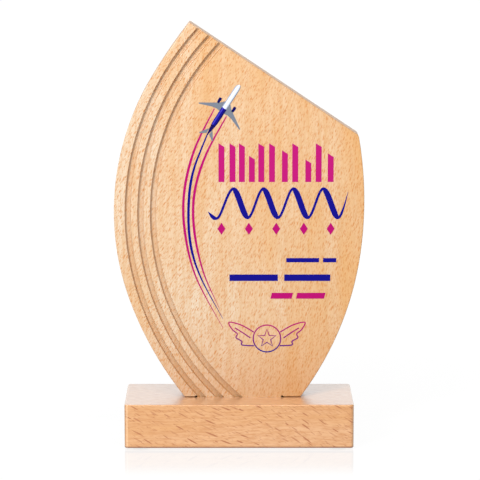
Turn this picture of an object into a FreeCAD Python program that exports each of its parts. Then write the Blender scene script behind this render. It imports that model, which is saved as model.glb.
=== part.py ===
import FreeCAD, Part
import math
import os

# A wooden award: a leaf-shaped beech panel whose tongue stands in a slot in a beech base.
# Two wood screws come up through the base into the panel, and four felt pads carry it.
# Millimetres. The origin is on the table under the middle of the base, +Z is up and the
# front faces -Y.

# base block
base_length = 159.4
base_depth = 63.0
base_height = 31.0
base_upright_radius = 2.5        # the four upright corners
base_top_radius = 1.0            # edges round the top
base_bottom_radius = 1.0         # edges round the underside

# felt pads
pad_radius = 6.0
pad_thickness = 1.0
pad_edge_radius = 0.25
pad_inset = 11.0                 # from the base's faces to a pad's centre

# panel
panel_thickness = 18.0
panel_edge_radius = 0.8          # all round the front and back faces
apex_radius = 1.0
upper_corner_radius = 4.0
foot_corner_radius = 1.5

# panel outline, seen from the front: each side leaves its foot at a heading, in degrees
# from +X, and runs up as tangent arcs of (radius, turn in degrees); a straight slanted
# edge joins the two upper ends
left_foot_x = -38.15
left_foot_heading = 128.24
left_arcs = ((243.5, 18.6), (182.0, 50.6), (383.8, 7.1))
right_foot_x = 43.2
right_foot_heading = 53.6
right_arcs = ((221.7, 28.9), (265.2, 17.9))

# tongue and slot
tongue_width = 59.0
slot_depth = 15.0
shoulder_gap = 0.3               # from the base's top to the panel's shoulders
slot_side_clearance = 0.05
slot_cutter_radius = 3.0
slot_end_room = 2.8              # between the tongue's side and the slot's end
relief_radius = 0.95             # notch where a shoulder meets the tongue
relief_bite = 0.2                # into the tongue's side
tongue_lead_in = 0.8             # chamfer round the tongue's lower end

# grooves: three rings of one centre, milled in the panel's front
groove_centre_x = 112.5
groove_centre_z = 161.8
outer_groove_radius = 189.67     # to the middle of the groove
groove_pitch = 8.75
groove_count = 3
groove_width = 3.96
groove_depth = 2.4
groove_floor_radius = 0.7
groove_mouth_ease = 0.3          # 45 degree chamfer
groove_sweep = 130.0             # enough to run out of the panel at both ends

# wood screws, 4 x 40 with a countersunk head
screw_x = 18.0                   # to each side of the middle
screw_length = 40.0
screw_thread_radius = 2.0
screw_root_radius = 1.4
screw_head_radius = 4.0
screw_head_rim = 0.4
screw_tip_length = 4.0
screw_thread_pitch = 1.8
screw_thread_count = 11
cross_width = 1.1
cross_span = 4.6
cross_depth = 1.9
screw_head_sink = 0.4            # below the base's underside
shank_hole_radius = 2.2
pilot_hole_clearance = 0.05

base_bottom = pad_thickness
base_top = base_bottom + base_height
slot_floor = base_top - slot_depth
shoulder_z = base_top + shoulder_gap
panel_front = -panel_thickness / 2
screw_seat = base_bottom + screw_head_sink
head_height = screw_head_rim + screw_head_radius - screw_thread_radius

up = FreeCAD.Vector(0, 0, 1)
back = FreeCAD.Vector(0, 1, 0)


def direction(degrees):
    angle = math.radians(degrees)
    return FreeCAD.Vector(math.cos(angle), 0, math.sin(angle))


def box_between(low, high):
    size = [high[i] - low[i] for i in range(3)]
    return Part.makeBox(size[0], size[1], size[2], FreeCAD.Vector(*low))


def tangent_arcs(start, heading, arcs, clockwise):
    # a chain of arcs from start; clockwise is 1, or -1 for a chain that turns the other way
    edges = []
    for radius, turn in arcs:
        centre = start + direction(heading - 90 * clockwise) * radius
        out = heading + 90 * clockwise
        middle = centre + direction(out - clockwise * turn / 2) * radius
        end = centre + direction(out - clockwise * turn) * radius
        edges.append(Part.Arc(start, middle, end).toShape())
        start = end
        heading -= clockwise * turn
    return edges, start


def across_edges(shape, corner):
    # edges that run front to back through a corner of the outline
    found = []
    for edge in shape.Edges:
        middle = edge.CenterOfMass
        level = FreeCAD.Vector(corner.x, middle.y, corner.z)
        if edge.Length > panel_thickness * 0.9 and middle.distanceToPoint(level) < 0.01:
            found.append(edge)
    return found


def face_edges(shape):
    # edges that lie in the panel's front or back face
    half = panel_thickness / 2
    found = []
    for edge in shape.Edges:
        ends = edge.BoundBox
        if ends.YLength < 0.001 and abs(abs(ends.YMin) - half) < 0.001:
            found.append(edge)
    return found


def make_blank():
    # the panel above its shoulders, with eased edges
    left_foot = FreeCAD.Vector(left_foot_x, panel_front, shoulder_z)
    right_foot = FreeCAD.Vector(right_foot_x, panel_front, shoulder_z)
    left, apex = tangent_arcs(left_foot, left_foot_heading, left_arcs, 1)
    right, upper_corner = tangent_arcs(right_foot, right_foot_heading, right_arcs, -1)
    slant = Part.LineSegment(apex, upper_corner).toShape()
    foot = Part.LineSegment(right_foot, left_foot).toShape()
    outline = Part.Wire(left + [slant] + right[::-1] + [foot])
    blank = Part.Face(outline).extrude(back * panel_thickness)
    for corner, radius in (
        (apex, apex_radius),
        (upper_corner, upper_corner_radius),
        (left_foot, foot_corner_radius),
        (right_foot, foot_corner_radius),
    ):
        blank = blank.makeFillet(radius, across_edges(blank, corner))
    return blank.makeFillet(panel_edge_radius, face_edges(blank))


def make_tongue():
    half_width = tongue_width / 2
    half_thickness = panel_thickness / 2
    root = shoulder_z + 2 * foot_corner_radius
    tongue = box_between(
        (-half_width, -half_thickness, slot_floor),
        (half_width, half_thickness, root),
    )
    lower = [edge for edge in tongue.Edges if edge.BoundBox.ZMax < slot_floor + 0.001]
    return tongue.makeChamfer(tongue_lead_in, lower)


def groove_side(sign, middle_x, floor):
    # one wall of the groove's section, from above the mouth down to the floor
    half = groove_width / 2
    bow = 1 - math.sqrt(0.5)

    def at(offset, y):
        return FreeCAD.Vector(middle_x + sign * offset, y, groove_centre_z)

    lip = groove_mouth_ease
    bend = groove_floor_radius
    above = at(half + lip + 1, panel_front - 1)
    lip_end = at(half, panel_front + lip)
    bend_start = at(half, floor - bend)
    bend_middle = at(half - bend * bow, floor - bend * bow)
    bend_end = at(half - bend, floor)
    edges = [
        Part.LineSegment(above, lip_end).toShape(),
        Part.LineSegment(lip_end, bend_start).toShape(),
        Part.Arc(bend_start, bend_middle, bend_end).toShape(),
    ]
    return edges, above, bend_end


def make_groove_cutter(radius):
    middle_x = groove_centre_x - radius
    floor = panel_front + groove_depth
    one, one_top, one_floor = groove_side(-1, middle_x, floor)
    two, two_top, two_floor = groove_side(1, middle_x, floor)
    bottom = Part.LineSegment(one_floor, two_floor).toShape()
    lid = Part.LineSegment(two_top, one_top).toShape()
    section = Part.Face(Part.Wire(one + [bottom] + two[::-1] + [lid]))
    centre = FreeCAD.Vector(groove_centre_x, 0, groove_centre_z)
    section.rotate(centre, back, -groove_sweep / 2)
    return section.revolve(centre, back, groove_sweep)


def make_panel():
    panel = make_blank().fuse(make_tongue())
    for side in (-1, 1):
        relief_x = side * (tongue_width / 2 + relief_radius - relief_bite)
        relief_start = FreeCAD.Vector(relief_x, -panel_thickness, shoulder_z)
        panel = panel.cut(Part.makeCylinder(relief_radius, 2 * panel_thickness, relief_start, back))
        pilot_start = FreeCAD.Vector(side * screw_x, 0, slot_floor)
        pilot_length = screw_seat + screw_length - slot_floor + 1
        pilot_radius = screw_thread_radius + pilot_hole_clearance
        panel = panel.cut(Part.makeCylinder(pilot_radius, pilot_length, pilot_start, up))
    for number in range(groove_count):
        panel = panel.cut(make_groove_cutter(outer_groove_radius - number * groove_pitch))
    return panel.removeSplitter()


def make_slot():
    half_length = tongue_width / 2 + slot_end_room
    half_width = panel_thickness / 2 + slot_side_clearance
    slot = box_between(
        (-half_length, -half_width, slot_floor),
        (half_length, half_width, base_top + 1),
    )
    upright = [edge for edge in slot.Edges if edge.BoundBox.ZLength > slot_depth]
    return slot.makeFillet(slot_cutter_radius, upright)


def make_screw_hole(x):
    # a clearance hole with a 90 degree countersink, open at the underside
    mouth_radius = screw_head_radius + screw_head_sink
    bottom = FreeCAD.Vector(x, 0, base_bottom)
    shank = Part.makeCylinder(shank_hole_radius, base_height, bottom, up)
    sink = Part.makeCone(mouth_radius, 0, mouth_radius, bottom + up * screw_head_rim, up)
    rim = Part.makeCylinder(mouth_radius, screw_head_rim, bottom, up)
    return shank.fuse([sink, rim])


def make_base():
    half_length = base_length / 2
    half_depth = base_depth / 2
    base = box_between((-half_length, -half_depth, base_bottom), (half_length, half_depth, base_top))
    upright = [edge for edge in base.Edges if edge.BoundBox.ZLength > base_height / 2]
    base = base.makeFillet(base_upright_radius, upright)
    for level, radius in ((base_top, base_top_radius), (base_bottom, base_bottom_radius)):
        ring = [edge for edge in base.Edges
                if edge.BoundBox.ZLength < 0.001 and abs(edge.BoundBox.ZMin - level) < 0.001]
        base = base.makeFillet(radius, ring)
    base = base.cut(make_slot())
    for x in (-screw_x, screw_x):
        base = base.cut(make_screw_hole(x))
    return base.removeSplitter()


def make_screw(x):
    # turned about its own axis from the head's flat face up to the point
    outline = [(0, 0), (screw_head_radius, 0), (screw_head_radius, screw_head_rim)]
    outline.append((screw_thread_radius, head_height))
    tip_start = screw_length - screw_tip_length
    thread_start = tip_start - screw_thread_count * screw_thread_pitch
    outline.append((screw_thread_radius, thread_start))
    for turn in range(screw_thread_count):
        z = thread_start + turn * screw_thread_pitch
        outline.append((screw_root_radius, z + 0.3 * screw_thread_pitch))
        outline.append((screw_root_radius, z + 0.6 * screw_thread_pitch))
        outline.append((screw_thread_radius, z + screw_thread_pitch))
    outline.append((0, screw_length))
    points = [FreeCAD.Vector(radius, 0, z) for radius, z in outline]
    profile = Part.Face(Part.makePolygon(points + points[:1]))
    screw = profile.revolve(FreeCAD.Vector(), up, 360)
    for wide, deep in ((cross_span, cross_width), (cross_width, cross_span)):
        slot = Part.makeBox(wide, deep, cross_depth, FreeCAD.Vector(-wide / 2, -deep / 2, 0))
        screw = screw.cut(slot)
    screw.translate(FreeCAD.Vector(x, 0, screw_seat))
    return screw


def make_pad(x, y):
    pad = Part.makeCylinder(pad_radius, pad_thickness, FreeCAD.Vector(x, y, 0), up)
    rims = [edge for edge in pad.Edges if edge.BoundBox.ZLength < 0.001]
    return pad.makeFillet(pad_edge_radius, rims)


def make_parts():
    parts = {"award_panel": make_panel(), "base_block": make_base()}
    for side, x in (("left", -screw_x), ("right", screw_x)):
        parts["panel_screw_" + side] = make_screw(x)
    pad_x = base_length / 2 - pad_inset
    pad_y = base_depth / 2 - pad_inset
    for end, y in (("front", -pad_y), ("back", pad_y)):
        for side, x in (("left", -pad_x), ("right", pad_x)):
            parts["felt_pad_" + end + "_" + side] = make_pad(x, y)
    return parts


os.makedirs("parts", exist_ok=True)
for name, shape in make_parts().items():
    box = shape.BoundBox
    print(name, "valid", shape.isValid(), "solids", len(shape.Solids), "volume", round(shape.Volume),
          "x", round(box.XMin, 2), round(box.XMax, 2), "z", round(box.ZMin, 2), round(box.ZMax, 2))
    shape.exportStep("parts/" + name + ".step")
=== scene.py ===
import math

import bmesh
import bpy
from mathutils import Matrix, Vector, noise


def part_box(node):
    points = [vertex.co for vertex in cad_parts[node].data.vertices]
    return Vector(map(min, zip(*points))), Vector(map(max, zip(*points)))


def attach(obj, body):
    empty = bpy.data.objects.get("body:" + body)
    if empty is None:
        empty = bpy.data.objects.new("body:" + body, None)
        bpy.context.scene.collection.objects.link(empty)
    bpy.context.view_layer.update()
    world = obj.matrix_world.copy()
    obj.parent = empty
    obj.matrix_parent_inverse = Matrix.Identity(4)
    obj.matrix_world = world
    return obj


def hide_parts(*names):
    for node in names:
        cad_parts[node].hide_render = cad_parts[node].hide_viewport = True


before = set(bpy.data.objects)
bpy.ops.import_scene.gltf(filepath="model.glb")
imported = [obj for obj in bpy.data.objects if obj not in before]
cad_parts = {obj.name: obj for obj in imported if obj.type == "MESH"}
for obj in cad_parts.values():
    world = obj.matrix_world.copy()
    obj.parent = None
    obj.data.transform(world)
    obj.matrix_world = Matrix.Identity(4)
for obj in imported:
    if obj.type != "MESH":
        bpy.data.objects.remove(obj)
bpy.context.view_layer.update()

print("frame loaded:", len(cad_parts), "nodes")

panelLow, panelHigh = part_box("award_panel")
baseLow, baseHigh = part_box("base_block")
panelFront = panelLow.y  # the face that carries the print
mm = 0.001


def toLinear(hexColour):
    channels = [int(hexColour[i:i + 2], 16) / 255 for i in (1, 3, 5)]
    linear = [c / 12.92 if c <= 0.04045 else ((c + 0.055) / 1.055) ** 2.4 for c in channels]
    return (*linear, 1.0)


def addNode(material, kind, inputs=None, stops=None, **settings):
    # one node with its settings, its colour stops and its links
    node = material.node_tree.nodes.new("ShaderNode" + kind)
    for name, value in settings.items():
        setattr(node, name, value)
    for socket, value in (inputs or {}).items():
        if isinstance(value, bpy.types.NodeSocket):
            material.node_tree.links.new(value, node.inputs[socket])
        else:
            node.inputs[socket].default_value = value
    for number, (place, shade) in enumerate(stops or ()):
        ramp = node.color_ramp.elements
        stop = ramp[number] if number < 2 else ramp.new(place)
        stop.position = place
        stop.color = (shade, shade, shade, 1) if isinstance(shade, (int, float)) else shade
    return node


def newMaterial(name):
    material = bpy.data.materials.new(name)
    material.use_nodes = True
    material.node_tree.nodes.clear()
    return material


def finishMaterial(material, shader):
    addNode(material, "OutputMaterial", {"Surface": shader.outputs[0]})
    return material


# Beech, planed, sanded and lacquered. Seen close it is pale pinkish tan, full of short fibre
# streaks and brown ray flecks along the grain, and darker where the fibres end. The flecks are
# drawn about half as wide again as real ones, or they would be lost. Sizes in millimetres.
beech = {
    # what both boards share
    "driftScale": 0.021,  # the grain wanders over some 50 mm
    "drift": (6.0, 6.0, 0.0),  # and by this much, across itself
    "toneShift": (-0.25, 0.45),  # from the pinker side to the warmer one
    "endShare": 0.75,  # how far cut fibre ends go to their own darker tone
    "leanWander": 9,  # degrees that a fleck may stray from the board's lean
    "fleckSink": 0.6,  # flecks lie a little lower than the fibres
    "relief": 0.05,
    "ior": 1.5,  # cured lacquer
}
panelBeech = {
    "turn": (0, 0, 0),  # the grain runs up the panel
    "grainAxis": 2,
    "palest": "#CEBCA4",
    "warmest": "#C99A64",
    "streak": "#BC8A50",
    "fleck": "#B87634",
    "endGrain": "#B98E62",
    "warmToward": (1, 0, 0.35),  # the board is pinker at the left and warmer at the upper right
    "warmFrom": (-2, 130),
    "leanAcross": (-55, 75),
    "patchSize": (26, 40, 150),
    "fibreSize": (0.85, 12, 5.5),
    "fibreShare": 0.38,
    "streakSize": (2.2, 9, 60),
    "ringSpacing": 4.2,
    "ringShare": 0.12,
    "pith": (34, 82, 0),
    "footTone": "#C4854E",
    "footWarmth": 0.4,  # the panel goes browner towards its lower end
    "footReach": (30, 80),  # above the panel's lower end
    "lean": (-34, -13),  # degrees, at the left and at the right
    "flecks": (
        {"spacing": (2.0, 30, 4.6), "half": (0.56, 60, 2.2), "share": 0.8, "depth": 0.95},
        {"spacing": (1.25, 30, 2.8), "half": (0.4, 60, 1.4), "share": 0.8, "depth": 0.75},
    ),
    "roughness": (0.36, 0.5),
    "coat": 0.35,
    "coatRoughness": 0.22,
}
baseBeech = {
    "turn": (0, math.radians(90), 0),  # the grain runs along the base
    "grainAxis": 0,
    "palest": "#D6A981",
    "warmest": "#CB955E",
    "streak": "#B5773F",
    "fleck": "#9A5424",
    "endGrain": "#A87746",
    # painted highlight colour for the left upright edge
    "paintedHighlightTone": "#E6C49C",
    # painted shade colour for the lower edge
    "paintedShadeTone": "#7C4A24",
    "warmToward": (1, 0, 0),
    "warmFrom": (-40, 40),
    "leanAcross": (-40, 40),
    "patchSize": (14, 18, 120),
    "fibreSize": (0.9, 12, 6),
    "fibreShare": 0.55,
    "streakSize": (1.5, 8, 30),
    "ringSpacing": 3.1,
    "ringShare": 0.2,
    "pith": (-62, 48, 0),
    "lean": (-31, -27),
    "flecks": (
        {"spacing": (5.0, 24, 11.0), "half": (0.66, 50, 5.6), "share": 0.78, "depth": 1.0},
        {"spacing": (2.4, 24, 4.6), "half": (0.42, 50, 2.0), "share": 0.55, "depth": 0.6},
    ),
    "roughness": (0.34, 0.46),
    "coat": 1.0,
    "coatRoughness": 0.18,
    "topShine": 0.8,  # the top lay upwards when it was sprayed, so it took the most lacquer
    "topRoughness": 0.32,
    "paintedHighlight": 0.4,  # painted highlight on the left upright edge, where its rounding faces the left softbox
    "bottomShade": 0.9,  # and painted shade along the lower edge, next to the floor
    "bottomShadeReach": (0.7, 1.7),  # how high the painted shade reaches, up from the base's underside
}


def addFlecks(material, grainPlace, lean, fleck):
    # one dash in each cell of an uneven lattice; the cell's own colour picks its size and strength
    spacing = fleck["spacing"]
    cells = addNode(material, "VectorMath", {
        0: grainPlace, 1: [1 / step for step in spacing],
    }, operation="MULTIPLY")
    lattice = addNode(material, "TexVoronoi", {
        "Vector": cells.outputs[0], "Scale": 1.0, "Randomness": 1.0,
    })
    fromMiddle = addNode(material, "VectorMath", {
        0: cells.outputs[0], 1: lattice.outputs["Position"],
    }, operation="SUBTRACT")
    inMillimetres = addNode(material, "VectorMath", {
        0: fromMiddle.outputs[0], 1: spacing,
    }, operation="MULTIPLY")
    turned = addNode(material, "VectorRotate", {
        "Vector": inMillimetres.outputs[0], "Angle": lean,
    }, rotation_type="Y_AXIS")
    inDash = addNode(material, "VectorMath", {
        0: turned.outputs[0], 1: [1 / half for half in fleck["half"]],
    }, operation="MULTIPLY")
    reach = addNode(material, "VectorMath", {0: inDash.outputs[0]}, operation="LENGTH")
    lot = addNode(material, "SeparateColor", {"Color": lattice.outputs["Color"]})
    size = addNode(material, "MapRange", {
        "Value": lot.outputs["Red"], "To Min": 0.55, "To Max": 1.15,
    })
    edge = addNode(material, "Math", {
        0: reach.outputs["Value"], 1: size.outputs[0],
    }, operation="DIVIDE")
    shape = addNode(material, "MapRange", {
        "Value": edge.outputs[0], "From Min": 0.4, "From Max": 1.0, "To Min": 1.0, "To Max": 0.0,
    }, interpolation_type="SMOOTHSTEP")
    present = addNode(material, "Math", {
        0: lot.outputs["Green"], 1: fleck["share"],
    }, operation="LESS_THAN")
    strength = addNode(material, "MapRange", {
        "Value": lot.outputs["Blue"], "To Min": 0.35 * fleck["depth"], "To Max": fleck["depth"],
    })
    kept = addNode(material, "Math", {0: shape.outputs[0], 1: present.outputs[0]}, operation="MULTIPLY")
    mask = addNode(material, "Math", {0: kept.outputs[0], 1: strength.outputs[0]}, operation="MULTIPLY")
    return mask.outputs[0]


def makeBeech(name, look, routed=False):
    material = newMaterial(name)
    place = addNode(material, "TexCoord")
    inGrain = addNode(material, "Mapping", {
        "Vector": place.outputs["Object"], "Rotation": look["turn"], "Scale": (1000, 1000, 1000),
    })
    # the grain wanders a little, as in any board
    drift = addNode(material, "TexNoise", {
        "Vector": inGrain.outputs[0], "Scale": beech["driftScale"], "Detail": 2.0,
    })
    bent = addNode(material, "VectorMath", {
        0: drift.outputs["Color"], 1: beech["drift"], 2: inGrain.outputs[0],
    }, operation="MULTIPLY_ADD")
    acrossBoard = addNode(material, "SeparateXYZ", {0: inGrain.outputs[0]})
    # rays are sheets, so a face at right angles to the front shows them along its own width
    facing = addNode(material, "SeparateXYZ", {0: place.outputs["Normal"]})
    sideways = addNode(material, "Math", {0: facing.outputs[2 - look["grainAxis"]]}, operation="ABSOLUTE")
    onSide = addNode(material, "Math", {0: sideways.outputs[0], 1: 0.7}, operation="GREATER_THAN")
    axes = addNode(material, "SeparateXYZ", {0: bent.outputs[0]})
    swapped = addNode(material, "CombineXYZ", {
        0: axes.outputs[1], 1: axes.outputs[0], 2: axes.outputs[2],
    })
    figured = addNode(material, "Mix", {
        0: onSide.outputs[0], 4: bent.outputs[0], 5: swapped.outputs[0],
    }, data_type="VECTOR").outputs[1]

    patches, fibres, streaks = [addNode(material, "TexNoise", {
        "Vector": addNode(material, "VectorMath", {
            0: figured, 1: [1 / size for size in look[pattern]],
        }, operation="MULTIPLY").outputs[0],
        "Scale": 1.0, "Detail": detail, "Roughness": 0.6,
    }) for pattern, detail in (("patchSize", 3.0), ("fibreSize", 2.0), ("streakSize", 4.0))]

    # growth rings: the distance from the tree's middle, which lies outside the board
    across = addNode(material, "VectorMath", {0: bent.outputs[0], 1: (1, 1, 0.02)}, operation="MULTIPLY")
    radius = addNode(material, "VectorMath", {0: across.outputs[0], 1: look["pith"]}, operation="DISTANCE")
    ring = addNode(material, "Math", {
        0: radius.outputs["Value"], 1: look["ringSpacing"],
    }, operation="DIVIDE")
    year = addNode(material, "Math", {0: ring.outputs[0]}, operation="FRACT")
    lateWood = addNode(material, "ValToRGB", {"Fac": year.outputs[0]}, stops=(
        (0.0, 0.15), (0.62, 0.0), (0.9, 1.0), (1.0, 0.15),
    ))

    # broad tone: patches, on top of a slow change across the board
    warmth = addNode(material, "VectorMath", {
        0: inGrain.outputs[0], 1: look["warmToward"],
    }, operation="DOT_PRODUCT")
    slow = addNode(material, "MapRange", {
        "Value": warmth.outputs["Value"], "From Min": look["warmFrom"][0], "From Max": look["warmFrom"][1],
        "To Min": beech["toneShift"][0], "To Max": beech["toneShift"][1],
    })
    spread = addNode(material, "MapRange", {
        "Value": patches.outputs[0], "From Min": 0.32, "From Max": 0.68, "To Min": 0.1, "To Max": 0.8,
    })
    tone = addNode(material, "Math", {
        0: spread.outputs[0], 1: slow.outputs[0],
    }, operation="ADD", use_clamp=True)
    colour = addNode(material, "Mix", {
        0: tone.outputs[0], 6: toLinear(look["palest"]), 7: toLinear(look["warmest"]),
    }, data_type="RGBA").outputs[2]
    # then what is darker than the ground: long streaks, late wood and short fibres
    lined = addNode(material, "MapRange", {
        "Value": streaks.outputs[0], "From Min": 0.48, "From Max": 0.78, "To Max": 0.5,
    })
    ringed = addNode(material, "Math", {
        0: lateWood.outputs["Color"], 1: look["ringShare"],
    }, operation="MULTIPLY")
    fine = addNode(material, "MapRange", {
        "Value": fibres.outputs[0], "From Min": 0.42, "From Max": 0.66, "To Max": look["fibreShare"],
    })
    darker = [(lined, "streak"), (ringed, "streak"), (fine, "streak")]
    if "footTone" in look:
        foot = addNode(material, "MapRange", {
            "Value": acrossBoard.outputs[2],
            "From Min": panelLow.z / mm + look["footReach"][0],
            "From Max": panelLow.z / mm + look["footReach"][1],
            "To Min": look["footWarmth"], "To Max": 0.0,
        })
        darker.insert(0, (foot, "footTone"))
    for share, tint in darker:
        colour = addNode(material, "Mix", {
            0: share.outputs[0], 6: colour, 7: toLinear(look[tint]),
        }, data_type="RGBA").outputs[2]

    # the flecks lean with the grain, not all by the same angle
    leanAcross = addNode(material, "MapRange", {
        "Value": acrossBoard.outputs[0],
        "From Min": look["leanAcross"][0], "From Max": look["leanAcross"][1],
        "To Min": math.radians(look["lean"][0]), "To Max": math.radians(look["lean"][1]),
    })
    wander = addNode(material, "MapRange", {
        "Value": drift.outputs[0], "From Min": 0.3, "From Max": 0.7,
        "To Min": -math.radians(beech["leanWander"]), "To Max": math.radians(beech["leanWander"]),
    })
    lean = addNode(material, "Math", {0: leanAcross.outputs[0], 1: wander.outputs[0]}, operation="ADD")
    fleckMasks = [addFlecks(material, figured, lean.outputs[0], fleck) for fleck in look["flecks"]]
    for mask in fleckMasks:
        colour = addNode(material, "Mix", {
            0: mask, 6: colour, 7: toLinear(look["fleck"]),
        }, data_type="RGBA").outputs[2]

    # end grain drinks more lacquer and goes darker
    alongGrain = addNode(material, "Math", {0: facing.outputs[look["grainAxis"]]}, operation="ABSOLUTE")
    endShare = addNode(material, "MapRange", {
        "Value": alongGrain.outputs[0], "From Min": 0.35, "From Max": 0.95, "To Max": beech["endShare"],
    })
    colour = addNode(material, "Mix", {
        0: endShare.outputs[0], 6: colour, 7: toLinear(look["endGrain"]),
    }, data_type="RGBA").outputs[2]

    if routed:
        colour = addRoutedBurnAndShade(material, place, facing, colour)
    # painted highlight and painted shade along the base's edges
    if "paintedHighlight" in look:
        colour = addPaintedHighlightAndShade(material, look, place, facing, colour)

    roughness = addNode(material, "MapRange", {
        "Value": streaks.outputs[0], "From Min": 0.3, "From Max": 0.7,
        "To Min": look["roughness"][0], "To Max": look["roughness"][1],
    })
    sunk = addNode(material, "Math", {0: fleckMasks[0], 1: fleckMasks[1]}, operation="ADD")
    height = addNode(material, "Math", {
        0: sunk.outputs[0], 1: -beech["fleckSink"], 2: fibres.outputs[0],
    }, operation="MULTIPLY_ADD")
    relief = addNode(material, "Bump", {
        "Height": height.outputs[0], "Strength": 0.35, "Distance": beech["relief"] * mm,
    })
    shader = addNode(material, "BsdfPrincipled", {
        "Base Color": colour,
        "Roughness": roughness.outputs[0],
        "Normal": relief.outputs[0],
        "IOR": beech["ior"],
        "Coat Weight": look["coat"],
        "Coat Roughness": look["coatRoughness"],
    })
    if "topShine" in look:
        shader = addTopShine(material, look, facing, shader, fibres, relief)
    return finishMaterial(material, shader)


def addPaintedHighlightAndShade(material, look, place, facing, colour):
    # painted highlight along the left upright edge, on the faces turned towards the left softbox, and
    # painted shade along the lower edge
    leftward = addNode(material, "Math", {0: facing.outputs[0], 1: -1.0}, operation="MULTIPLY")
    paintedHighlight = addNode(material, "ValToRGB", {"Fac": leftward.outputs[0]}, stops=(
        (0.03, 0.0), (0.15, 1.0), (0.42, 1.0), (0.6, 0.0),
    ))
    paintedHighlightShare = addNode(material, "Math", {
        0: paintedHighlight.outputs["Color"], 1: look["paintedHighlight"],
    }, operation="MULTIPLY")
    paler = addNode(material, "Mix", {
        0: paintedHighlightShare.outputs[0], 6: colour, 7: toLinear(look["paintedHighlightTone"]),
    }, data_type="RGBA")
    where = addNode(material, "SeparateXYZ", {0: place.outputs["Object"]})
    # painted shade: darker along the lower edge, next to the floor
    low = addNode(material, "MapRange", {
        "Value": where.outputs[2],
        "From Min": baseLow.z + look["bottomShadeReach"][0] * mm,
        "From Max": baseLow.z + look["bottomShadeReach"][1] * mm,
        "To Min": look["bottomShade"], "To Max": 0.0,
    })
    notUnder = addNode(material, "MapRange", {
        "Value": facing.outputs[2], "From Min": -0.95, "From Max": -0.75,
    })
    bottomShadeShare = addNode(material, "Math", {
        0: low.outputs[0], 1: notUnder.outputs[0],
    }, operation="MULTIPLY")
    return addNode(material, "Mix", {
        0: bottomShadeShare.outputs[0], 6: paler.outputs[2], 7: toLinear(look["paintedShadeTone"]),
    }, data_type="RGBA").outputs[2]


def addTopShine(material, look, facing, shader, fibres, relief):
    # thick lacquer seen along its surface is nearly a mirror
    slant = addNode(material, "LayerWeight", {"Blend": 0.5})
    grazing = addNode(material, "MapRange", {
        "Value": slant.outputs["Facing"], "From Min": 0.45, "From Max": 0.95, "To Max": look["topShine"],
    })
    upward = addNode(material, "MapRange", {
        "Value": facing.outputs[2], "From Min": 0.6, "From Max": 0.95,
    })
    onTop = addNode(material, "Math", {
        0: grazing.outputs[0], 1: upward.outputs[0],
    }, operation="MULTIPLY")
    # the fibres still show, since the film sinks in over them
    sunkIn = addNode(material, "MapRange", {
        "Value": fibres.outputs[0], "From Min": 0.35, "From Max": 0.65, "To Min": 1.08, "To Max": 0.82,
    })
    share = addNode(material, "Math", {0: onTop.outputs[0], 1: sunkIn.outputs[0]}, operation="MULTIPLY")
    lacquer = addNode(material, "BsdfAnisotropic", {
        "Color": (1, 1, 1, 1), "Roughness": look["topRoughness"], "Normal": relief.outputs[0],
    })
    return addNode(material, "MixShader", {
        0: share.outputs[0], 1: shader.outputs[0], 2: lacquer.outputs[0],
    })


# What the router cut: the floor is a shade darker than the sanded face, and darker still towards the
# panel's foot, which is painted shade where the overhead light is blocked. The walls and the curve where
# they meet the floor are painted brown, partly the cutter's burnish and partly painted shade in the recess.
groove = {
    "depth": 2.4,
    "wallBurnAndShadeTone": "#BE7036",
    "farWallBurnAndShadeTone": "#7E4A22",  # the walls that face left are painted darker still, partly burn and partly painted shade
    "floorBurnAndShadeTone": "#C08D58",
    "wallBurnAndShadeShare": 0.6,
    "floorBurnAndShadeShare": (0.44, 0.08),  # at the foot and at the top; the extra towards the foot is painted shade
    "shareEnds": 30,  # the share stops changing this far from the panel's ends
}


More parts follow.
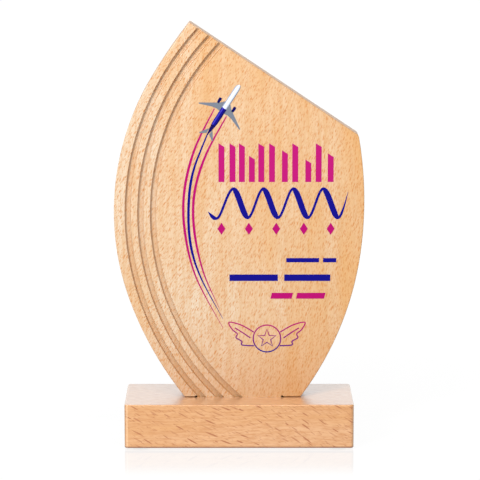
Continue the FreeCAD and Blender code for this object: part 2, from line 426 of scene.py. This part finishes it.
def addRoutedBurnAndShade(material, place, facing, colour):
    depth = groove["depth"] * mm
    where = addNode(material, "SeparateXYZ", {0: place.outputs["Object"]})
    sunk = addNode(material, "MapRange", {
        "Value": where.outputs[1],
        "From Min": panelFront + depth * 0.08, "From Max": panelFront + depth * 0.45,
    })
    notBack = addNode(material, "Math", {
        0: where.outputs[1], 1: panelFront + depth * 1.1,
    }, operation="LESS_THAN")
    inGroove = addNode(material, "Math", {0: sunk.outputs[0], 1: notBack.outputs[0]}, operation="MULTIPLY")
    # painted shade: the floor goes darker towards the panel's foot
    shadeTowardsFoot = addNode(material, "MapRange", {
        "Value": where.outputs[2],
        "From Min": panelLow.z + groove["shareEnds"] * mm,
        "From Max": panelHigh.z - groove["shareEnds"] * mm,
        "To Min": groove["floorBurnAndShadeShare"][0], "To Max": groove["floorBurnAndShadeShare"][1],
    })
    floorBurnAndShadeShare = addNode(material, "Math", {
        0: inGroove.outputs[0], 1: shadeTowardsFoot.outputs[0],
    }, operation="MULTIPLY")
    floored = addNode(material, "Mix", {
        0: floorBurnAndShadeShare.outputs[0], 6: colour, 7: toLinear(groove["floorBurnAndShadeTone"]),
    }, data_type="RGBA")
    # the walls and the floor's curve: painted brown, partly burnish and partly painted shade in the recess
    outward = addNode(material, "Math", {0: facing.outputs[1]}, operation="ABSOLUTE")
    steep = addNode(material, "MapRange", {
        "Value": outward.outputs[0], "From Min": 0.3, "From Max": 0.97, "To Min": 1.0, "To Max": 0.0,
    })
    wall = addNode(material, "Math", {0: steep.outputs[0], 1: inGroove.outputs[0]}, operation="MULTIPLY")
    wallBurnAndShadeShare = addNode(material, "Math", {
        0: wall.outputs[0], 1: groove["wallBurnAndShadeShare"],
    }, operation="MULTIPLY")
    farSide = addNode(material, "Math", {0: facing.outputs[0], 1: 0.0}, operation="LESS_THAN")
    wallBurnAndShadeTone = addNode(material, "Mix", {
        0: farSide.outputs[0], 6: toLinear(groove["wallBurnAndShadeTone"]), 7: toLinear(groove["farWallBurnAndShadeTone"]),
    }, data_type="RGBA")
    return addNode(material, "Mix", {
        0: wallBurnAndShadeShare.outputs[0], 6: floored.outputs[2], 7: wallBurnAndShadeTone.outputs[2],
    }, data_type="RGBA").outputs[2]


def dressNode(node, material):
    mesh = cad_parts[node].data
    mesh.materials.clear()
    mesh.materials.append(material)


dressNode("award_panel", makeBeech("beechSatinLacquer", panelBeech, routed=True))
dressNode("base_block", makeBeech("beechGlossLacquer", baseBeech))
print("beech done")

# Screws of mild steel, zinc plated and chromated bright: bluish silver with faint milky clouds
# from the plating bath, and slightly rough threads. Sizes in millimetres.
zincPlate = {
    "colour": "#B9BEC2",
    "cloud": "#9DA3A6",
    "straw": "#BDB59E",
    "cloudSize": 1.4,
    "pitSize": 0.12,
    "relief": 0.01,
}


def makeZinc():
    material = newMaterial("brightZincPlate")
    place = addNode(material, "TexCoord")
    clouds = addNode(material, "TexNoise", {
        "Vector": place.outputs["Object"], "Scale": 1 / (zincPlate["cloudSize"] * mm), "Detail": 3.0,
    })
    pits = addNode(material, "TexNoise", {
        "Vector": place.outputs["Object"], "Scale": 1 / (zincPlate["pitSize"] * mm), "Detail": 2.0,
    })
    colour = addNode(material, "ValToRGB", {"Fac": clouds.outputs[0]}, stops=(
        (0.3, toLinear(zincPlate["cloud"])),
        (0.52, toLinear(zincPlate["colour"])),
        (0.75, toLinear(zincPlate["straw"])),
    ))
    roughness = addNode(material, "MapRange", {"Value": clouds.outputs[0], "To Min": 0.22, "To Max": 0.42})
    relief = addNode(material, "Bump", {
        "Height": pits.outputs[0], "Strength": 0.25, "Distance": zincPlate["relief"] * mm,
    })
    shader = addNode(material, "BsdfPrincipled", {
        "Base Color": colour.outputs[0], "Metallic": 1.0,
        "Roughness": roughness.outputs[0], "Normal": relief.outputs[0],
    })
    return finishMaterial(material, shader)


zinc = makeZinc()
for side in ("left", "right"):
    dressNode("panel_screw_" + side, zinc)
print("screws done")


def addPiece(name, bm, material, smooth=True):
    mesh = bpy.data.meshes.new(name)
    bm.to_mesh(mesh)
    bm.free()
    for face in mesh.polygons:
        face.use_smooth = smooth
    mesh.materials.append(material)
    piece = bpy.data.objects.new(name, mesh)
    bpy.context.scene.collection.objects.link(piece)
    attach(piece, "root")
    return piece


# Self-adhesive pads of pressed wool, punched out round: dark brown, with loose fibres lying every
# way and a soft, slightly furred rim. The fibres are drawn about three times as thick as real
# ones, so that they show. Sizes in millimetres.
felt = {
    "dark": "#35241A",
    "light": "#6A4C37",
    "fibre": 0.09,
    "relief": 0.1,
    "turns": 72,  # points round the rim
    "rings": 9,  # loops across each flat side
    "rimSteps": 12,
    "rimRadius": 0.38,  # how far the punched rim is rounded
    "fur": 0.07,
    "furScale": 3,
}


def makeFelt():
    material = newMaterial("pressedWoolFelt")
    place = addNode(material, "TexCoord")
    stretches = [addNode(material, "Mapping", {
        "Vector": place.outputs["Object"], "Rotation": (0, 0, turn),
        "Scale": [1 / (size * felt["fibre"] * mm) for size in (1, 9, 4)],
    }) for turn in (0.4, 1.5, 2.6)]
    layers = [addNode(material, "TexNoise", {
        "Vector": stretch.outputs[0], "Scale": 1.0,
    }) for stretch in stretches]
    tangle = addNode(material, "Math", {
        0: layers[0].outputs[0], 1: layers[1].outputs[0],
    }, operation="MAXIMUM")
    mat = addNode(material, "Math", {
        0: tangle.outputs[0], 1: layers[2].outputs[0],
    }, operation="MAXIMUM")
    colour = addNode(material, "ValToRGB", {"Fac": mat.outputs[0]}, stops=(
        (0.5, toLinear(felt["dark"])), (0.78, toLinear(felt["light"])),
    ))
    relief = addNode(material, "Bump", {
        "Height": mat.outputs[0], "Strength": 0.9, "Distance": felt["relief"] * mm,
    })
    shader = addNode(material, "BsdfPrincipled", {
        "Base Color": colour.outputs[0], "Roughness": 0.95, "Normal": relief.outputs[0],
        "Sheen Weight": 0.5, "Sheen Roughness": 0.5,
    })
    return finishMaterial(material, shader)


def makeFeltPad(node, material):
    low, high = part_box(node)
    middle = (low + high) / 2
    radius = (high.x - low.x) / 2
    thick = high.z - low.z
    rim = felt["rimRadius"] * mm
    fur = felt["fur"] * mm
    bm = bmesh.new()
    # half a profile: along the top, round the rim, back along the underside
    profile = [(radius - rim) * step / felt["rings"] for step in range(1, felt["rings"] + 1)]
    half = [(reach, thick) for reach in profile]
    for step in range(1, felt["rimSteps"]):
        swing = math.pi * step / felt["rimSteps"]
        half.append((radius - rim + rim * math.sin(swing), thick / 2 + thick / 2 * math.cos(swing)))
    half += [(reach, 0.0) for reach in reversed(profile)]
    loops = []
    for reach, level in half:
        loop = []
        for turn in range(felt["turns"]):
            angle = math.tau * turn / felt["turns"]
            where = Vector((math.cos(angle), math.sin(angle), level / mm)) * felt["furScale"] + middle / mm
            # the fur only shrinks the pad, and mostly at the rim
            fuzz = fur * (noise.noise(where) - 1) * 0.5 * (reach / radius) ** 4
            dip = 0.0
            if level == thick:
                dip = fur * 0.5 * (noise.noise(where * reach / radius) - 1)
            loop.append(bm.verts.new((
                middle.x + (reach + fuzz) * math.cos(angle),
                middle.y + (reach + fuzz) * math.sin(angle),
                low.z + level + dip / 2,
            )))
        loops.append(loop)
    for upper, lower in zip(loops, loops[1:]):
        for turn in range(felt["turns"]):
            following = (turn + 1) % felt["turns"]
            bm.faces.new((upper[turn], lower[turn], lower[following], upper[following]))
    for loop in (loops[0], loops[-1]):
        bm.faces.new(loop)
    bmesh.ops.recalc_face_normals(bm, faces=bm.faces)
    pad = addPiece(node.replace("felt_pad", "feltPad"), bm, material)
    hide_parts(node)


feltMaterial = makeFelt()
for depth in ("front", "back"):
    for side in ("left", "right"):
        makeFeltPad(f"felt_pad_{depth}_{side}", feltMaterial)
print("felt pads done")

# The print is ink cured by ultraviolet light, jetted straight onto the lacquer: strong flat
# colour with a dull shine. Every place below is in millimetres on the panel's face, to the right
# of the base's middle and up from its top. There is no lettering, only bars and ornaments.
ink = {
    "rise": 0.06,  # how far the ink stands proud
    "layer": 0.02,  # and how much more where it lies on other ink
    "sunk": 0.02,  # how far it reaches under the lacquer's surface
    "magenta": "#A81468",
    "magentaThin": "#A30A62",
    "navy": "#0C0878",
    "navyDeep": "#0A0650",
    "silver": "#8E9AB4",
    "white": "#D4D9E2",
    "wingGrey": "#6C727E",
    "paleGrey": "#B2BACB",
    "rearBlue": "#3A34A8",
    "nozzle": 0.35,  # spacing of the print head's faint bands
    "grit": 0.18,
    "relief": 0.02,
    "roughness": (0.42, 0.5),
    "shine": 0.06,  # cured ink reflects far less than the lacquer does
}
faceMiddle = (baseLow.x + baseHigh.x) / 2
faceFoot = baseHigh.z


def makeInk(name, colour, endColour=None, low=0.0, high=1.0):
    # faint bands from the print head, and a fine grit
    material = newMaterial(name)
    place = addNode(material, "TexCoord")
    grit = addNode(material, "TexNoise", {
        "Vector": place.outputs["Object"], "Scale": 1 / (ink["grit"] * mm), "Detail": 2.0,
    })
    bands = addNode(material, "TexWave", {
        "Vector": place.outputs["Object"], "Scale": 1 / (ink["nozzle"] * mm) / 20, "Distortion": 0.6,
    }, bands_direction="X")
    tone = toLinear(colour)
    if endColour:
        level = addNode(material, "SeparateXYZ", {0: place.outputs["Object"]})
        fade = addNode(material, "MapRange", {
            "Value": level.outputs[2], "From Min": faceFoot + low * mm, "From Max": faceFoot + high * mm,
        })
        tone = addNode(material, "Mix", {
            0: fade.outputs[0], 6: toLinear(endColour), 7: toLinear(colour),
        }, data_type="RGBA").outputs[2]
    density = addNode(material, "MapRange", {
        "Value": grit.outputs[0], "From Min": 0.3, "From Max": 0.7, "To Min": 0.9, "To Max": 1.06,
    })
    varied = addNode(material, "Mix", {
        0: 1.0, 6: tone, 7: density.outputs[0],
    }, data_type="RGBA", blend_type="MULTIPLY")
    roughness = addNode(material, "MapRange", {
        "Value": bands.outputs[1], "To Min": ink["roughness"][0], "To Max": ink["roughness"][1],
    })
    relief = addNode(material, "Bump", {
        "Height": grit.outputs[0], "Strength": 0.2, "Distance": ink["relief"] * mm,
    })
    shader = addNode(material, "BsdfPrincipled", {
        "Base Color": varied.outputs[2], "Roughness": roughness.outputs[0], "Normal": relief.outputs[0],
        "Specular IOR Level": ink["shine"],
    })
    return finishMaterial(material, shader)


def onFace(point, layer=0):
    rise = (ink["rise"] + layer * ink["layer"]) * mm
    return Vector((faceMiddle + point[0] * mm, panelFront - rise, faceFoot + point[1] * mm))


def addOutline(bm, points, layer=0):
    bm.faces.new([bm.verts.new(onFace(point, layer)) for point in points])


def smoothLine(points, steps):
    # a soft line through the points, by Catmull and Rom's formula
    last = len(points) - 1
    line = []
    for number in range(last):
        near = [points[min(max(number + shift, 0), last)] for shift in (-1, 0, 1, 2)]
        for step in range(steps):
            t = step / steps
            line.append(tuple(
                0.5 * (2 * b + (c - a) * t
                       + (2 * a - 5 * b + 4 * c - d) * t ** 2
                       + (3 * b - 3 * c + d - a) * t ** 3)
                for a, b, c, d in zip(*near)
            ))
    return line + [tuple(points[-1])]


def addStroke(bm, line, width, closed=False):
    # a pen stroke along the line; width is a number, or a function of how far along it is
    count = len(line)
    rows = []
    for number, (x, z) in enumerate(line):
        before = line[number - 1] if number or closed else line[0]
        after = line[(number + 1) % count] if number < count - 1 or closed else line[-1]
        along = Vector((after[0] - before[0], after[1] - before[1])).normalized()
        half = (width(number / (count - 1)) if callable(width) else width) / 2
        rows.append([bm.verts.new(onFace(
            (x - along.y * sign * half, z + along.x * sign * half)
        )) for sign in (1, -1)])
    for number in range(count if closed else count - 1):
        first = rows[number]
        second = rows[(number + 1) % count]
        bm.faces.new((first[0], first[1], second[1], second[0]))


def finishPrint(name, bm, material):
    bmesh.ops.recalc_face_normals(bm, faces=bm.faces)
    for face in bm.faces:
        if face.normal.y > 0:
            face.normal_flip()
    piece = addPiece(name, bm, material, smooth=False)
    film = piece.modifiers.new("inkFilm", "SOLIDIFY")
    film.thickness = (ink["rise"] + ink["sunk"]) * mm
    film.offset = -1.0  # inwards, so that the film ends just under the lacquer
    return piece


magentaInk = makeInk("curedInkMagenta", ink["magenta"])
magentaThinInk = makeInk("curedInkMagentaThin", ink["magentaThin"])
navyInk = makeInk("curedInkNavy", ink["navy"])

# a row of upright bars with slanted tops, in pairs
columns = {
    "foot": 152.9,
    "height": 27.0,
    "stroke": 4.1,
    "slots": ((-14.2, 11.7), (-0.1, 11.0), (13.3, 4.2), (20.7, 13.0), (36.7, 13.2), (52.9, 12.4)),
    "shorter": (0.0, 0.32, 0.0, 0.18, 0.42, 0.26),  # how much lower each pair's second bar is
    "slant": 0.62,  # the tops fall like the panel's own top
}


def makeColumns():
    bm = bmesh.new()
    stroke = columns["stroke"]
    for (left, width), shorter in zip(columns["slots"], columns["shorter"]):
        bars = [(left, 0.0)]
        if width > 2 * stroke:
            bars.append((left + width - stroke, shorter))
        for start, drop in bars:
            top = columns["foot"] + columns["height"] * (1 - drop)
            addOutline(bm, (
                (start, columns["foot"]), (start + stroke, columns["foot"]),
                (start + stroke, top - stroke * columns["slant"]), (start, top),
            ))
    finishPrint("printColumns", bm, magentaInk)


# a swung ribbon: thick going down, thin going up
ribbon = {
    "start": (-21.5, 132.0),
    "end": (75.5, 146.0),
    "swings": 4,
    "middle": 138.0,
    "reach": 20.0,  # from a trough up to a crest
    "thick": 4.2,
    "thin": 1.7,
    "lead": 7.0,  # from each end to the nearest turn
    "stepsPerTurn": 24,
    "taper": 14,  # the ends taper over one part in this many
    "tip": 0.12,  # how thick the tips stay, against the full stroke
}


def makeRibbon():
    bm = bmesh.new()
    crests = 2 * ribbon["swings"] + 1
    first = ribbon["start"][0] + ribbon["lead"]
    last = ribbon["end"][0] - ribbon["lead"]
    turns = [ribbon["start"]]
    for number in range(crests):
        across = first + (last - first) * number / (crests - 1)
        turns.append((across, ribbon["middle"] + ribbon["reach"] / 2 * (1 if number % 2 else -1)))
    line = smoothLine(turns + [ribbon["end"]], ribbon["stepsPerTurn"])
    falls = []
    for number in range(len(line)):
        before = line[max(number - 2, 0)]
        after = line[min(number + 2, len(line) - 1)]
        along = Vector((after[0] - before[0], after[1] - before[1])).normalized()
        falls.append(max(0.0, -along.y))

    def pen(share):
        # as thick as the line falls just there
        place = share * (len(falls) - 1)
        nearby = falls[max(int(place) - 3, 0):int(place) + 4]
        ends = min(1.0, share * ribbon["taper"], (1 - share) * ribbon["taper"])
        fall = sum(nearby) / len(nearby)
        return (ribbon["thin"] + (ribbon["thick"] - ribbon["thin"]) * fall) * max(ends, ribbon["tip"])

    addStroke(bm, line, pen)
    finishPrint("printRibbon", bm, navyInk)


# small diamonds, and plain bars where lines of writing would stand
diamonds = {"level": 120.1, "places": (-12.2, 6.8, 25.8, 44.9, 63.5), "width": 5.6, "height": 8.6}
bars = {
    # name: ink, foot, height, slant, then from-to pairs
    "printThinBar": ("navy", 96.4, 3.0, 0.0, ((32.8, 55.6), (58.4, 67.6))),
    "printBoldBar": ("navy", 83.2, 4.6, 0.0, ((-6.7, 27.0), (31.4, 63.5))),
    "printSlantedBar": ("magenta", 70.6, 4.2, 0.25, ((21.8, 36.6), (39.6, 59.2))),
}


def makeDiamonds():
    bm = bmesh.new()
    for middle in diamonds["places"]:
        addOutline(bm, (
            (middle - diamonds["width"] / 2, diamonds["level"]),
            (middle, diamonds["level"] - diamonds["height"] / 2),
            (middle + diamonds["width"] / 2, diamonds["level"]),
            (middle, diamonds["level"] + diamonds["height"] / 2),
        ))
    finishPrint("printDiamonds", bm, magentaThinInk)


def makeBars():
    for name, (tone, foot, height, slant, stretches) in bars.items():
        bm = bmesh.new()
        for start, end in stretches:
            lean = height * slant
            addOutline(bm, (
                (start, foot), (end, foot), (end + lean, foot + height), (start + lean, foot + height),
            ))
        finishPrint(name, bm, navyInk if tone == "navy" else magentaThinInk)


# a star in a ring between two wings, in one thin line
badge = {
    "middle": (19.5, 42.2),
    "line": 0.85,
    "ring": 9.6,
    "ringPoints": 72,
    "star": 6.6,
    "notch": 2.7,
    "starTips": 5,
    "wing": (
        (9.2, 4.6), (18.0, 9.6), (26.4, 11.6), (24.4, 6.6), (20.8, 3.4),
        (21.6, 0.6), (17.6, -2.0), (17.4, -4.6), (9.0, -5.2),
    ),
    "vein": ((11.6, 0.4), (17.0, 4.2), (22.4, 7.6)),
    "stepsPerPoint": 8,
}


def makeBadge():
    bm = bmesh.new()
    x, z = badge["middle"]
    ring = []
    for point in range(badge["ringPoints"]):
        angle = math.tau * point / badge["ringPoints"]
        ring.append((x + badge["ring"] * math.cos(angle), z + badge["ring"] * math.sin(angle)))
    addStroke(bm, ring, badge["line"], closed=True)
    star = []
    for point in range(2 * badge["starTips"]):
        reach = badge["notch"] if point % 2 else badge["star"]
        angle = math.pi / 2 + math.pi * point / badge["starTips"]
        star.append((x + reach * math.cos(angle), z + reach * math.sin(angle)))
    addStroke(bm, star, badge["line"], closed=True)
    for side in (1, -1):
        for part in ("wing", "vein"):
            corners = [(x + side * a, z + b) for a, b in badge[part]]
            addStroke(bm, smoothLine(corners, badge["stepsPerPoint"]), badge["line"])
    low = z - badge["ring"]
    high = z + badge["ring"]
    finishPrint("printBadge", bm, makeInk("curedInkFaded", ink["magentaThin"], ink["navy"], low, high))


# three vapour trails that follow the panel's left side, and the aircraft that draws them
trails = {
    # name: ink, width, then the places that it passes from the aircraft down to the foot
    "printTrailLeft": ("magenta", 1.75, (
        (-16.9, 204.0), (-30.8, 175.3), (-37.9, 146.0), (-37.6, 118.0), (-30.0, 86.0), (-11.3, 49.9))),
    "printTrailMiddle": ("navy", 1.8, (
        (-21.4, 187.2), (-31.6, 160.5), (-34.9, 136.8), (-33.8, 110.0), (-26.8, 86.0), (-11.3, 56.4))),
    "printTrailRight": ("magenta", 1.75, (
        (-8.7, 198.5), (-22.8, 172.0), (-30.7, 146.1), (-31.2, 120.0), (-25.0, 90.0), (-13.7, 63.7))),
}
trailPen = {
    "stepsPerPoint": 14,
    "start": 0.42,  # share of the full width at the aircraft
    "swell": 2.2,
    "fade": 2.6,
    "fadeCurve": 0.8,
    "least": 0.3,  # the thinnest line that prints, in millimetres
}


def trailWidth(share, widest):
    swell = min(1.0, trailPen["start"] + share * trailPen["swell"])
    fade = min(1.0, (1 - share) * trailPen["fade"]) ** trailPen["fadeCurve"]
    return max(trailPen["least"], widest * swell * fade)


def makeTrails():
    for name, (tone, width, points) in trails.items():
        bm = bmesh.new()
        line = smoothLine(points, trailPen["stepsPerPoint"])
        addStroke(bm, line, lambda share, widest=width: trailWidth(share, widest))
        finishPrint(name, bm, navyInk if tone == "navy" else magentaThinInk)


aircraft = {
    "nose": (0.5, 220.4),
    "tail": (-22.1, 185.6),
    "width": 3.8,
    "bodySteps": 22,
    "noseLength": 4.2,
    "taperFrom": 0.74,  # share of the length where the body starts to narrow
    "taper": 0.85,  # and how much of its width it loses
    "taperCurve": 1.2,
    # outlines of the right side: (along from the nose, across from the middle)
    "wing": (
        (14.6, 1.71), (17.4, 4.4), (20.2, 8.6), (23.4, 13.6), (25.6, 17.0), (26.3, 16.6),
        (24.6, 12.2), (23.0, 7.8), (22.4, 4.4), (22.8, 1.71),
    ),
    "tailplane": ((36.6, 1.33), (42.6, 5.6), (43.2, 5.2), (40.4, 1.045)),
    "engine": ((14.6, 4.9), (14.6, 6.8), (16.4, 7.0), (18.6, 6.6), (18.6, 5.0)),
    # ends of the body's three lengths, as shares: white, navy, then the narrow tail
    "rearStart": 0.47,
    "tailStart": 0.8,
}


def onAircraft(along, across):
    # along runs from the nose to the tail, across to the right wing, both in millimetres
    nose = Vector(aircraft["nose"])
    heading = (Vector(aircraft["tail"]) - nose).normalized()
    point = nose + heading * along + Vector((-heading.y, heading.x)) * across
    return point.x, point.y


def makeAircraft():
    length = (Vector(aircraft["tail"]) - Vector(aircraft["nose"])).length
    wingInk = makeInk("curedInkWingGrey", ink["wingGrey"])
    silverInk = makeInk("curedInkSilver", ink["silver"])
    paleInk = makeInk("curedInkPaleGrey", ink["paleGrey"])
    rearInk = makeInk("curedInkRearBlue", ink["rearBlue"])
    whiteInk = makeInk("curedInkWhite", ink["white"])
    deepInk = makeInk("curedInkNavyDeep", ink["navyDeep"])

    for name, part, material in (
        ("printWings", "wing", wingInk),
        ("printTailplane", "tailplane", wingInk),
        ("printEngines", "engine", deepInk),
    ):
        bm = bmesh.new()
        for side in (1, -1):
            outline = [onAircraft(along, side * across) for along, across in aircraft[part]]
            addOutline(bm, outline[::side], layer=1)
        finishPrint(name, bm, material)

    def bodyHalf(along):
        nosed = math.sqrt(max(0.0, 1 - (1 - min(along / aircraft["noseLength"], 1.0)) ** 2))
        tapered = max(0.0, (along / length - aircraft["taperFrom"]) / (1 - aircraft["taperFrom"]))
        return aircraft["width"] / 2 * nosed * (1 - aircraft["taper"] * tapered ** aircraft["taperCurve"])

    # the body is laid down in lengthwise strips, lit from the left: start, end, left, right
    rearStart = length * aircraft["rearStart"]
    tailStart = length * aircraft["tailStart"]
    for name, start, end, left, right, material in (
        ("printBodyEdge", 0.4, rearStart, -1.0, -0.72, silverInk),
        ("printBodyLight", 0.05, rearStart, -0.72, 0.34, whiteInk),
        ("printBodyShade", 0.1, rearStart, 0.34, 0.72, paleInk),
        ("printBodyDark", 0.4, rearStart, 0.72, 1.0, wingInk),
        ("printRearLight", rearStart, tailStart, -0.72, -0.2, rearInk),
        ("printRearEdge", rearStart, tailStart, -1.0, -0.72, navyInk),
        ("printRear", rearStart, tailStart, -0.2, 0.5, navyInk),
        ("printRearDark", rearStart, tailStart, 0.5, 1.0, deepInk),
        ("printTail", tailStart, length, -1.0, 1.0, deepInk),
    ):
        steps = aircraft["bodySteps"]
        lengths = [start + (end - start) * step / steps for step in range(steps + 1)]
        near = [onAircraft(along, bodyHalf(along) * left) for along in lengths]
        far = [onAircraft(along, bodyHalf(along) * right) for along in lengths]
        bm = bmesh.new()
        addOutline(bm, near + far[::-1], layer=2)
        finishPrint(name, bm, material)


makeColumns()
makeRibbon()
makeDiamonds()
makeBars()
makeBadge()
makeTrails()
makeAircraft()
print("print done")

# The floor is a light table's top of opal acrylic, cast and polished: white, with a faint mirror image and
# a faint shadow, partly real and partly painted, since the glow is made dimmer near the object. Sizes in
# metres.
floorLook = {
    "size": 14.0,
    "tone": "#3A3A3A",
    "roughness": 0.5,
    # painted shadow: the glow is a little dimmer near the object
    "shadedGlowNear": 0.965,
    "glowFar": 1.0,
    "shadedGlowNearWithin": 0.15,
    "glowFarBeyond": 0.6,
    "mirror": 0.18,
    "mirrorRoughness": 0.05,
    "mirrorUntil": 0.03,  # away from the base
    "mirrorGone": 0.075,
}


def makeFloor():
    mesh = bpy.data.meshes.new("studioFloor")
    half = floorLook["size"] / 2
    corners = [(-half, -half, 0), (half, -half, 0), (half, half, 0), (-half, half, 0)]
    mesh.from_pydata(corners, [], [(0, 1, 2, 3)])
    floor = bpy.data.objects.new("studioFloor", mesh)
    bpy.context.scene.collection.objects.link(floor)
    material = newMaterial("opalAcrylicLitFromBelow")
    place = addNode(material, "TexCoord")
    away = addNode(material, "VectorMath", {0: place.outputs["Object"]}, operation="LENGTH")
    # painted shadow round the object: the glow rises from its near level to its far level with distance
    glow = addNode(material, "MapRange", {
        "Value": away.outputs["Value"],
        "From Min": floorLook["shadedGlowNearWithin"], "From Max": floorLook["glowFarBeyond"],
        "To Min": floorLook["shadedGlowNear"], "To Max": floorLook["glowFar"],
    }, interpolation_type="SMOOTHSTEP")
    opal = addNode(material, "BsdfPrincipled", {
        "Base Color": toLinear(floorLook["tone"]), "Roughness": floorLook["roughness"],
        "Emission Color": (1, 1, 1, 1), "Emission Strength": glow.outputs[0],
        "Specular IOR Level": 0.0,
    })
    # the mirror image under the base fades away on every side
    anySide = addNode(material, "VectorMath", {0: place.outputs["Object"]}, operation="ABSOLUTE")
    outside = addNode(material, "VectorMath", {
        0: anySide.outputs[0], 1: baseHigh,
    }, operation="SUBTRACT")
    where = addNode(material, "SeparateXYZ", {0: outside.outputs[0]})
    beside = addNode(material, "Math", {
        0: where.outputs[0], 1: where.outputs[1],
    }, operation="MAXIMUM")
    share = addNode(material, "MapRange", {
        "Value": beside.outputs[0],
        "From Min": floorLook["mirrorUntil"], "From Max": floorLook["mirrorGone"],
        "To Min": floorLook["mirror"], "To Max": 0.0,
    }, interpolation_type="SMOOTHSTEP")
    polish = addNode(material, "BsdfAnisotropic", {
        "Color": (1, 1, 1, 1), "Roughness": floorLook["mirrorRoughness"],
    })
    shader = addNode(material, "MixShader", {
        0: share.outputs[0], 1: opal.outputs[0], 2: polish.outputs[0],
    })
    mesh.materials.append(finishMaterial(material, shader))


studio = {
    "seenWorld": 1.0,  # the white background that the camera sees
    "fill": 0.4,  # the soft light that it gives
    "shineFront": 0.15,  # what a glossy face mirrors of the dim side, behind the camera
    "shineBack": 0.92,  # and of the lit white wall behind the object
    "shineTurns": (-0.3, 0.6),  # how far back the change between them starts and ends
    "softboxes": {
        # name: place, point it faces, width, height, watts
        "leftSoftbox": ((-0.74, -1.20, 0.95), (0, 0, 0.16), 0.3, 0.34, 19.5),
        "topSoftbox": ((0.0, -0.75, 1.20), (0, 0, 0.14), 0.8, 0.5, 9.0),
    },
}


def makeWorld():
    world = bpy.data.worlds.new("whiteStudio")
    world.use_nodes = True
    world.node_tree.nodes.clear()
    rays = addNode(world, "LightPath")
    direction = addNode(world, "SeparateXYZ", {0: addNode(world, "TexCoord").outputs["Generated"]})
    shine = addNode(world, "MapRange", {
        "Value": direction.outputs[1],
        "From Min": studio["shineTurns"][0], "From Max": studio["shineTurns"][1],
        "To Min": studio["shineFront"], "To Max": studio["shineBack"],
    }, interpolation_type="SMOOTHSTEP")
    glossy = addNode(world, "MapRange", {
        "Value": rays.outputs["Is Glossy Ray"], "To Min": studio["seenWorld"], "To Max": shine.outputs[0],
    })
    level = addNode(world, "MapRange", {
        "Value": rays.outputs["Is Diffuse Ray"], "To Min": glossy.outputs[0], "To Max": studio["fill"],
    })
    background = addNode(world, "Background", {"Color": (1, 1, 1, 1), "Strength": level.outputs[0]})
    addNode(world, "OutputWorld", {"Surface": background.outputs[0]})
    bpy.context.scene.world = world


def makeLights():
    for name, (place, target, width, height, watts) in studio["softboxes"].items():
        light = bpy.data.lights.new(name, "AREA")
        light.shape = "RECTANGLE"
        light.size = width
        light.size_y = height
        light.energy = watts
        softbox = bpy.data.objects.new(name, light)
        softbox.location = place
        softbox.rotation_euler = (Vector(target) - Vector(place)).to_track_quat("-Z", "Y").to_euler()
        softbox.visible_camera = False
        bpy.context.scene.collection.objects.link(softbox)


# metres, degrees, and millimetres of lens on a sensor 36 mm wide
cameraLook = {
    "place": (-0.003, -1.619, 0.433),
    "downTilt": 10.17,
    "turn": -0.13,
    "lens": 176.74,
    "sensor": 36.0,
}


def makeCamera():
    lens = bpy.data.cameras.new("studioCamera")
    lens.lens = cameraLook["lens"]
    lens.sensor_width = cameraLook["sensor"]
    camera = bpy.data.objects.new("studioCamera", lens)
    camera.location = cameraLook["place"]
    camera.rotation_euler = (math.radians(90 - cameraLook["downTilt"]), 0, math.radians(cameraLook["turn"]))
    bpy.context.scene.collection.objects.link(camera)
    bpy.context.scene.camera = camera


makeFloor()
makeWorld()
makeLights()
makeCamera()
bpy.context.scene.view_settings.view_transform = "Standard"
print("floor, light and camera done")
